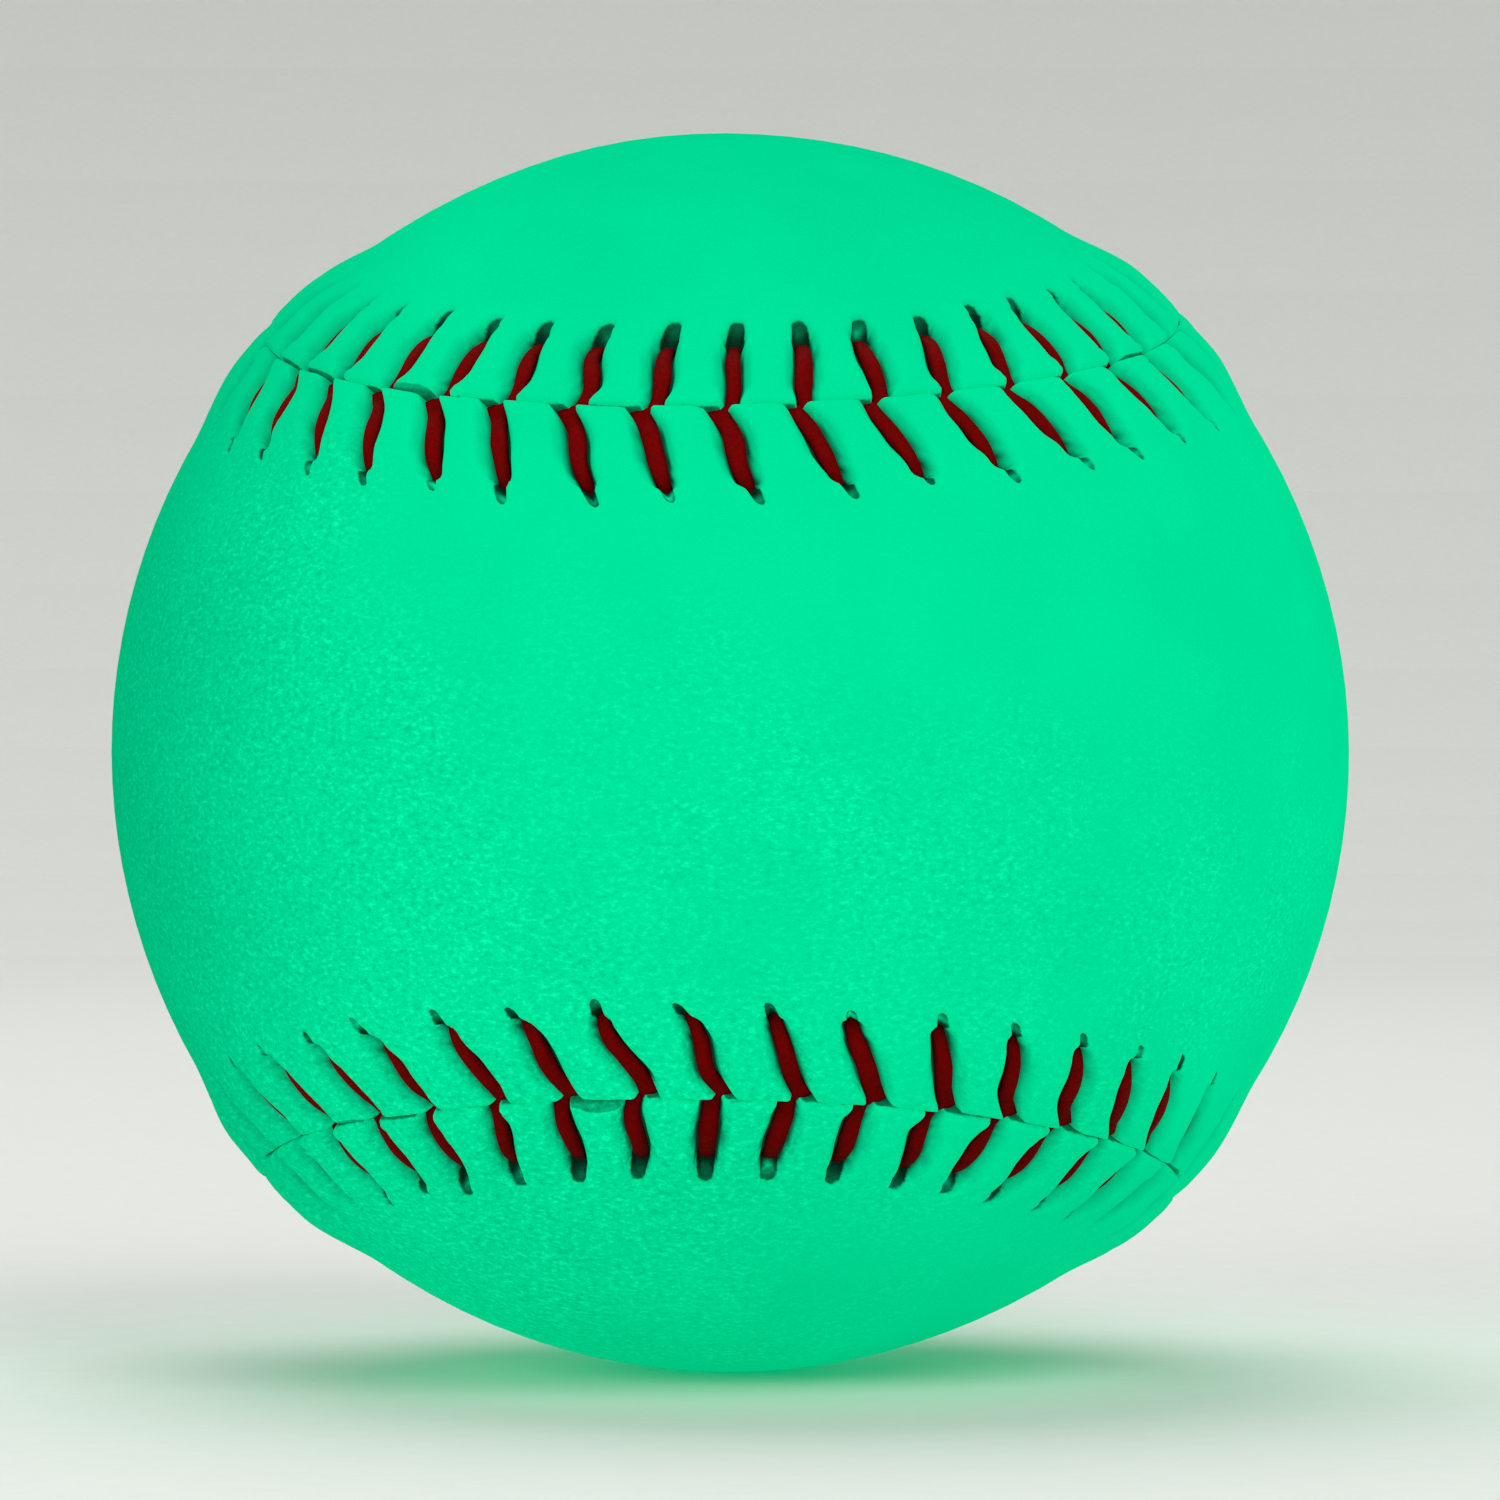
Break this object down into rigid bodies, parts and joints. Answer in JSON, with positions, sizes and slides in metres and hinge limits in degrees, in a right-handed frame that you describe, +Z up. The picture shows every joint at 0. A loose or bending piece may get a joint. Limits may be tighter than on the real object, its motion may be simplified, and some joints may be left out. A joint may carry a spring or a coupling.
{
  "type": "baseball",
  "caption": "Stitched leather ball with a cover that glows green in the dark, red raised seam, wound yarn and a cushioned cork centre, for throwing, catching and batting at night.",
  "frame": {"origin": "centre of the ball", "axes": "+Z up, front towards -Y: the front is the waist of the front cover panel, where the two seams come closest and run level, and +X is to the right seen from the front"},
  "size_m": [0.074, 0.074, 0.074],
  "materials": {
    "glow_leather": "phosphorescent coated leather, fine grain, matt",
    "waxed_thread": "dark red waxed cotton thread, twisted",
    "cork": "ground cork and rubber composition",
    "black_rubber": "moulded, matt",
    "red_rubber": "moulded, matt",
    "grey_wool": "wound wool yarn",
    "white_wool": "wound wool yarn",
    "cotton_yarn": "fine wound cotton and polyester yarn"
  },
  "bodies": {
    "root": {"cork_core": "cork", "upper_rubber_cup": "black_rubber", "lower_rubber_cup": "black_rubber", "cup_gasket": "red_rubber", "rubber_jacket": "red_rubber", "first_winding": "grey_wool", "second_winding": "white_wool", "third_winding": "grey_wool", "finish_winding": "cotton_yarn", "front_cover_panel": "glow_leather", "rear_cover_panel": "glow_leather", "first_thread": "waxed_thread", "second_thread": "waxed_thread"}
  },
  "joints": []
}
